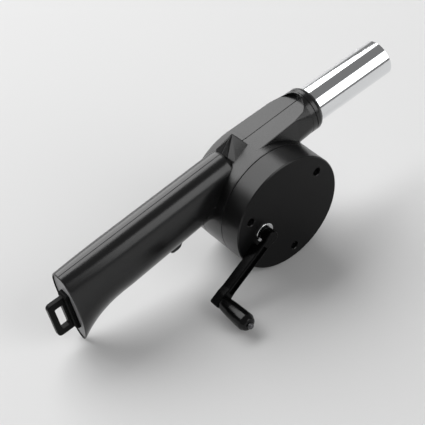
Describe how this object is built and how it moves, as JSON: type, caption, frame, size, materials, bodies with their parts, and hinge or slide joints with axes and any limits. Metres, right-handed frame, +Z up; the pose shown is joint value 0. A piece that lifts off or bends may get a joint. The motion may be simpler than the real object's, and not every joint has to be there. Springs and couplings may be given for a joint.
{
  "type": "hand cranked barbecue blower",
  "caption": "Hand cranked fan for fanning charcoal: a geared fan in a round casing blows through a duct and a steel tube, with a handle and strap loop behind.",
  "frame": {"origin": "on the table, under the middle of the whole object's bounding box", "axes": "+X along the handle towards the tube's mouth, +Y away from the crank, +Z up from the table the object lies on"},
  "size_m": [0.2748, 0.0868, 0.1],
  "materials": {
    "black_plastic": "semi-gloss moulded",
    "grey_plastic": "fine matt texture",
    "satin_plastic": "satin moulded",
    "polished_tube": "polished",
    "bright_steel": "bright plated",
    "nylon": "natural moulded nylon",
    "fan_plastic": "moulded"
  },
  "bodies": {
    "housing": {"casing_front": "black_plastic", "casing_back": "black_plastic", "gear_cover": "black_plastic", "end_cap": "grey_plastic", "strap_loop": "black_plastic", "outlet_collar": "black_plastic", "outlet_tube": "polished_tube", "crank_bush": "bright_steel", "idler_pin": "bright_steel", "front_bush": "nylon", "rear_bush": "nylon", "cover_screws": "bright_steel", "casing_screws": "bright_steel"},
    "crank": {"crank_shaft": "bright_steel", "crank_arm": "satin_plastic", "crank_gear": "nylon", "knob_pin": "bright_steel"},
    "knob": {"crank_knob": "satin_plastic"},
    "idler": {"idler_gear": "nylon"},
    "fan": {"fan_wheel": "fan_plastic", "fan_shaft": "bright_steel", "fan_pinion": "nylon", "fan_clip": "bright_steel"}
  },
  "joints": [
    {"name": "crank_spin", "type": "hinge", "parent": "housing", "child": "crank", "pos_m": [0.0026, -0.0075, 0.03858], "axis": [0, 1, 0], "continuous": true},
    {"name": "knob_spin", "type": "hinge", "parent": "crank", "child": "knob", "pos_m": [-0.03899, -0.0215, 0.00959], "axis": [0, 1, 0], "continuous": true},
    {"name": "idler_spin", "type": "hinge", "parent": "housing", "child": "idler", "pos_m": [0.0154, 0.0065, 0.02651], "axis": [0, 1, 0], "continuous": true},
    {"name": "fan_spin", "type": "hinge", "parent": "housing", "child": "fan", "pos_m": [0.02257, 0.0285, 0.0417], "axis": [0, 1, 0], "continuous": true}
  ],
  "couplings": [
    {"joint": "idler_spin", "follows": "crank_spin", "ratio": -3.4},
    {"joint": "fan_spin", "follows": "crank_spin", "ratio": 10.88}
  ]
}
